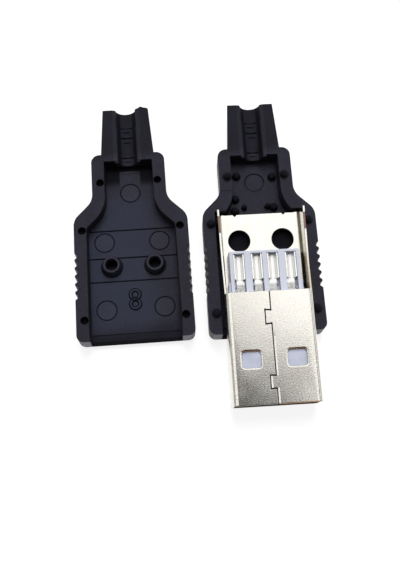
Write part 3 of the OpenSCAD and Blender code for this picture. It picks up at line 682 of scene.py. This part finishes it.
def nickel():
    """The shell's nickel plate, with its raw edges, straw stain, seam and rolled window lips, and painted
    shade at the tail wall's foot, at the tube's front and inside the tube.
    """
    material, tree, bsdf = new_material("nickel_plate")
    vector, x, y, z = own_place(tree, "plug")
    grain = use_group(tree, SURFACE_GRAIN, Place=vector, Grain=0.16, Cloud=2.2)
    rolls, cuts = window_edges(tree, x, y, z)
    seam, lip = tube_seam(tree, x, y, z)
    copper, tube_shade = tube_front(tree, x, y, z)
    straw, foot, notches = tail_stains_and_shade(tree, x, y, z)
    colour = plating(tree, vector, grain, y, z)
    # Stains and raw copper, with painted shade at the tail wall's foot, the tube's front and inside the tube.
    for mask, stain_and_shade in ((straw, NICKEL_STRAW), (foot, NICKEL_FOOT_SHADE),
                        (times(tree, either(tree, copper, cuts), 0.9), RAW_COPPER),
                        (notches, RAW_NOTCH), (tube_shade, TUBE_SHADE), (seam, SEAM_SHADE)):
        colour = mix_colour(tree, mask, colour, stain_and_shade)
    beside = math_node(tree, "ABSOLUTE", x)
    corner = times(tree, between(tree, beside, (5.0, 5.1), (5.42, 5.52)),
                   between(tree, z, (0.2, 0.27), (0.6, 0.7)), ramp(tree, y, TUBE_BACK + 0.1, TUBE_BACK + 0.3))
    normal = steadied(tree, corner, placing("plug").to_3x3() @ Vector((0, 0, 1)))
    normal = steadied(tree, times(tree, lip, 0.24), (-1.0, 0.0, 0.0), normal)
    normal = bump(tree, without(tree, rolls), WINDOW_ROLL_HEIGHT, 1.0, normal)
    put(tree, bsdf.inputs["Base Color"], colour)
    put(tree, bsdf.inputs["Normal"], bump(tree, grain["Grain"], NICKEL_GRAIN_HEIGHT, 0.3, normal))
    put(tree, bsdf.inputs["Roughness"], math_node(tree, "ADD", times(tree, grain["Cloud"], 0.10), 0.12))
    bsdf.inputs["Metallic"].default_value = 1.0
    return material


def pale_insulator():
    """The insulator's pale plastic, with painted light where it stands behind the tube, and shaded below the
    tube's seam and beside the contacts' necks.
    """
    material, tree, bsdf = new_material("pale_insulator")
    vector, x, y, z = own_place(tree, "plug")
    grain = use_group(tree, SURFACE_GRAIN, Place=vector, Grain=0.3, Cloud=2.0)
    colour = mix_colour(tree, ramp(tree, grain["Cloud"], 0.3, 0.7), INSULATOR, INSULATOR_CLOUDED)
    # Painted light where the insulator stands out behind the tube.
    lit_behind_tube = times(tree, ramp(tree, y, TUBE_BACK, TUBE_BACK + 0.4), 0.6)
    colour = mix_colour(tree, lit_behind_tube, colour, INSULATOR_LIT)
    below_seam = times(tree, near(tree, x, -0.4, 0.7, 0.2), within(tree, y, 0.45, TUBE_BACK, 0.1),
                       ramp(tree, z, 4.0, 4.05))
    beside_necks = times(tree, either(tree, *[near(tree, x, at, 0.8, 0.05) for at in CONTACT_ROWS]),
                         between(tree, y, NECK_START, (16.6, 17.1)), fade(tree, z, 2.5, 2.62),
                         ramp(tree, grain["Grain"], 0.42, 0.56), 0.85)
    colour = mix_colour(tree, either(tree, below_seam, beside_necks), colour, INSULATOR_SHADE)
    put(tree, bsdf.inputs["Base Color"], colour)
    put(tree, bsdf.inputs["Normal"], bump(tree, grain["Grain"], INSULATOR_GRAIN_HEIGHT, 0.4))
    bsdf.inputs["Roughness"].default_value = 0.38
    bsdf.inputs["Specular IOR Level"].default_value = INSULATOR_SHINE
    return material


def tin():
    """The contacts' tin plate, greyer and darker at their necks."""
    material, tree, bsdf = new_material("tinned_contact")
    vector, _, y, _ = own_place(tree, "plug")
    grain = use_group(tree, SURFACE_GRAIN, Place=vector, Grain=0.2, Cloud=1.2)
    colour = mix_colour(tree, grain["Cloud"], TIN, TIN_CLOUDED)
    necks = times(tree, between(tree, y, NECK_START, (16.6, 17.0)), 0.85)
    neck_grey = mix_colour(tree, ramp(tree, grain["Grain"], 0.45, 0.62), TIN_NECK_GREY, TIN_DARK)
    put(tree, bsdf.inputs["Base Color"], mix_colour(tree, necks, colour, neck_grey))
    put(tree, bsdf.inputs["Normal"], bump(tree, grain["Grain"], TIN_GRAIN_HEIGHT, 0.3))
    bsdf.inputs["Metallic"].default_value = 0.55
    bsdf.inputs["Roughness"].default_value = 0.2
    return material


# ---------------------------------------------------------------- pieces with softened edges

def own_ends(name, edge):
    """An edge's two ends in a piece's own frame, in millimetres."""
    back = placing(name).inverted()
    return [back @ (v.co / MM) for v in edge.verts]


def kept_crisp(name, edge):
    """Is this one of the fine rib edges in a cable groove, or an end of the raw notch in the shell's ears?"""
    if name in PLACES:
        return all(abs(p.x) < GROOVE_HALF and CHAMBER_END - 0.7 < p.y < NECK_END - 0.5
                   and p.z < GROOVE_EDGE_TOP for p in own_ends(name, edge))
    if name == "plug_shell":
        ends = own_ends("plug", edge)
        return any(all(abs(p.y - y) < 0.1 and p.z > RAW_NOTCH_HEIGHT - 0.07 for p in ends) for y in RAW_ENDS)
    return False


def corner_normals(shape, rounded):
    """One normal per face corner: plain faces keep their own, and rounded edges blend between them."""
    plain = {}
    for face in shape.faces:
        if face not in rounded:
            for vert in face.verts:
                plain.setdefault(vert, []).append(face.normal)
    found = []
    for face in shape.faces:
        limit = ROUNDED_REACH if face in rounded else PLAIN_REACH
        for loop in face.loops:
            near_by = [n for n in plain.get(loop.vert, ()) if n.dot(face.normal) > limit]
            if not near_by:
                near_by = [f.normal for f in loop.vert.link_faces if f.normal.dot(face.normal) > SPARE_REACH]
            apart = []
            for normal in near_by:
                if all(normal.dot(other) < SAME_DIRECTION for other in apart):
                    apart.append(normal)
            total = sum(apart, Vector())
            found.append(total.normalized() if total.length > 1e-6 else face.normal.copy())
    return found


def rounded_edges(shape, edges, width, clamp):
    """Rounds edges of a shape in metres by a width in millimetres; gives the new faces."""
    return bmesh.ops.bevel(shape, geom=edges, offset=width * MM, offset_type="OFFSET", affect="EDGES",
                           segments=2, profile=0.5, material=-1, clamp_overlap=clamp)["faces"]


def new_piece(name, shape, material):
    """A piece on the root body, made from a shape that is used up."""
    mesh = bpy.data.meshes.new(name)
    shape.to_mesh(mesh)
    shape.free()
    mesh.shade_smooth()
    mesh.materials.append(material)
    piece = bpy.data.objects.new(name, mesh)
    bpy.context.scene.collection.objects.link(piece)
    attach(piece, ROOT)
    return piece


def softened(name, material, width):
    """A stand-in for one CAD node whose crisp edges are rounded by width millimetres."""
    shape = bmesh.new()
    shape.from_mesh(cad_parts[name].data)
    bmesh.ops.remove_doubles(shape, verts=shape.verts, dist=MERGE_DISTANCE * MM)
    crisp = [e for e in shape.edges
             if len(e.link_faces) == 2 and e.calc_face_angle(0.0) > math.radians(CRISP_ANGLE)
             and not kept_crisp(name, e)]
    rounded = rounded_edges(shape, crisp, width, clamp=False)
    shape.normal_update()
    normals = corner_normals(shape, set(rounded))
    piece = new_piece(name + "_finished", shape, material)
    piece.data.normals_split_custom_set(normals)
    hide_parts(name)
    return piece


def flash(material):
    """The ragged moulding flash on the end of the socket cover's neck."""
    shape = bmesh.new()
    bottom = shape.faces.new([shape.verts.new(Vector((x, min(y, FLASH_UNDERSIDE_END), FLASH_BOTTOM)))
                              for x, y in FLASH_OUTLINE])
    raised = bmesh.ops.extrude_face_region(shape, geom=[bottom], use_keep_orig=True)["geom"]
    for vert in (v for v in raised if isinstance(v, bmesh.types.BMVert)):
        x, y = min(FLASH_OUTLINE, key=lambda at: abs(at[0] - vert.co.x))
        vert.co = (x, y, FLASH_TOP)
    bmesh.ops.transform(shape, matrix=Matrix.Scale(MM, 4) @ placing("socket_cover"), verts=shape.verts)
    bmesh.ops.recalc_face_normals(shape, faces=shape.faces)
    crisp = [e for e in shape.edges if e.calc_face_angle(0.0) > math.radians(FLASH_CRISP_ANGLE)]
    rounded_edges(shape, crisp, FLASH_ROUNDING, clamp=True)
    piece = new_piece("neck_flash", shape, material)
    piece.data.set_sharp_from_angle(angle=math.radians(FLASH_SHARP_ANGLE))
    return piece


cover_finish = socket_cover_plastic()
softened("socket_cover", cover_finish, COVER_ROUNDING)
softened("pin_cover", pin_cover_plastic(), COVER_ROUNDING)
flash(cover_finish)
softened("plug_shell", nickel(), SHELL_ROUNDING)
softened("insulator", pale_insulator(), INSULATOR_ROUNDING)
contact_finish = tin()
for contact in CONTACTS:
    softened(contact, contact_finish, CONTACT_ROUNDING)


# ---------------------------------------------------------------- stage, lights and camera

def background_rays(tree):
    """1 for the rays that show the background: seen directly, mirrored or through something clear."""
    path = tree.nodes.new("ShaderNodeLightPath").outputs
    return either(tree, path["Is Camera Ray"], path["Is Glossy Ray"], path["Is Transmission Ray"])


def make_floor():
    """A white table top that keeps the pieces' shadows and glows only where it is seen."""
    mesh = bpy.data.meshes.new("table_top")
    shape = bmesh.new()
    bmesh.ops.create_grid(shape, x_segments=1, y_segments=1, size=TABLE_HALF)
    shape.to_mesh(mesh)
    shape.free()
    table = bpy.data.objects.new("table_top", mesh)
    bpy.context.scene.collection.objects.link(table)
    material, tree, bsdf = new_material("white_table")
    seen = background_rays(tree)
    put(tree, bsdf.inputs["Base Color"], mix_colour(tree, seen, TABLE, TABLE_SEEN))
    put(tree, bsdf.inputs["Emission Strength"], times(tree, seen, TABLE_GLOW))
    bsdf.inputs["Emission Color"].default_value = WHITE
    bsdf.inputs["Roughness"].default_value = 0.9
    bsdf.inputs["Specular IOR Level"].default_value = 0.0
    mesh.materials.append(material)


def make_world():
    """A white backdrop round a dim room, with a broad light beyond the cable ends and one at each side."""
    world = bpy.data.worlds.new("studio")
    bpy.context.scene.world = world
    world.use_nodes = True
    tree = world.node_tree
    tree.nodes.clear()
    output = tree.nodes.new("ShaderNodeOutputWorld")
    back = tree.nodes.new("ShaderNodeBackground")
    x, y, z = split(tree, tree.nodes.new("ShaderNodeTexCoord").outputs["Generated"])
    lean = math_node(tree, "ARCTAN2", y, z)
    slanted = math_node(tree, "ADD", lean, times(tree, x, BACK_LIGHT_SLANT))
    walls = times(tree, fade(tree, z, *WALL_TOP), WALL_LEVEL)
    back_light = times(tree, ramp(tree, slanted, *BACK_LIGHT_START), fade(tree, lean, *BACK_LIGHT_END),
                       between(tree, x, *BACK_LIGHT_SIDES), BACK_LIGHT_LEVEL)
    sides = either(tree, within(tree, x, *RIGHT_LIGHT, 0.06), within(tree, x, *LEFT_LIGHT, 0.10))
    side_lights = times(tree, sides, near(tree, lean, SIDE_LIGHT_LEAN, SIDE_LIGHT_LEAN_HALF, 0.10),
                        SIDE_LIGHT_LEVEL)
    room = math_node(tree, "ADD", either(tree, walls, back_light, side_lights), ROOM_LEVEL)
    backdrop = times(tree, background_rays(tree), fade(tree, z, *BACKDROP_TOP))
    put(tree, back.inputs["Color"], WHITE)
    put(tree, back.inputs["Strength"], either(tree, room, backdrop))
    tree.links.new(back.outputs["Background"], output.inputs["Surface"])


def make_softbox(name, elevation, azimuth, reach, width, height, energy):
    """A rectangular studio lamp that faces the layout's middle; azimuth runs from +Y towards +X."""
    data = bpy.data.lights.new(name, "AREA")
    data.shape = "RECTANGLE"
    data.size = width
    data.size_y = height
    data.energy = energy
    up, side = math.radians(elevation), math.radians(azimuth)
    away = Vector((math.cos(up) * math.sin(side), math.cos(up) * math.cos(side), math.sin(up)))
    lamp = bpy.data.objects.new(name, data)
    lamp.location = away * reach
    lamp.rotation_euler = away.to_track_quat("Z", "Y").to_euler()
    lamp.visible_camera = False
    lamp.visible_glossy = False
    bpy.context.scene.collection.objects.link(lamp)


def make_camera():
    data = bpy.data.cameras.new("camera")
    data.lens = CAMERA_LENS
    data.sensor_width = CAMERA_SENSOR
    data.clip_start = 0.001
    camera = bpy.data.objects.new("camera", data)
    camera.location = CAMERA_PLACE
    camera.rotation_euler = [math.radians(a) for a in CAMERA_TURN]
    bpy.context.scene.collection.objects.link(camera)
    bpy.context.scene.camera = camera


make_floor()
make_world()
make_softbox("softbox", elevation=60, azimuth=4, reach=0.6, width=0.30, height=0.46, energy=3.2)
make_camera()
bpy.context.scene.view_settings.view_transform = "Standard"


def plain(bounds):
    return [[float(v) for v in corner] for corner in bounds]
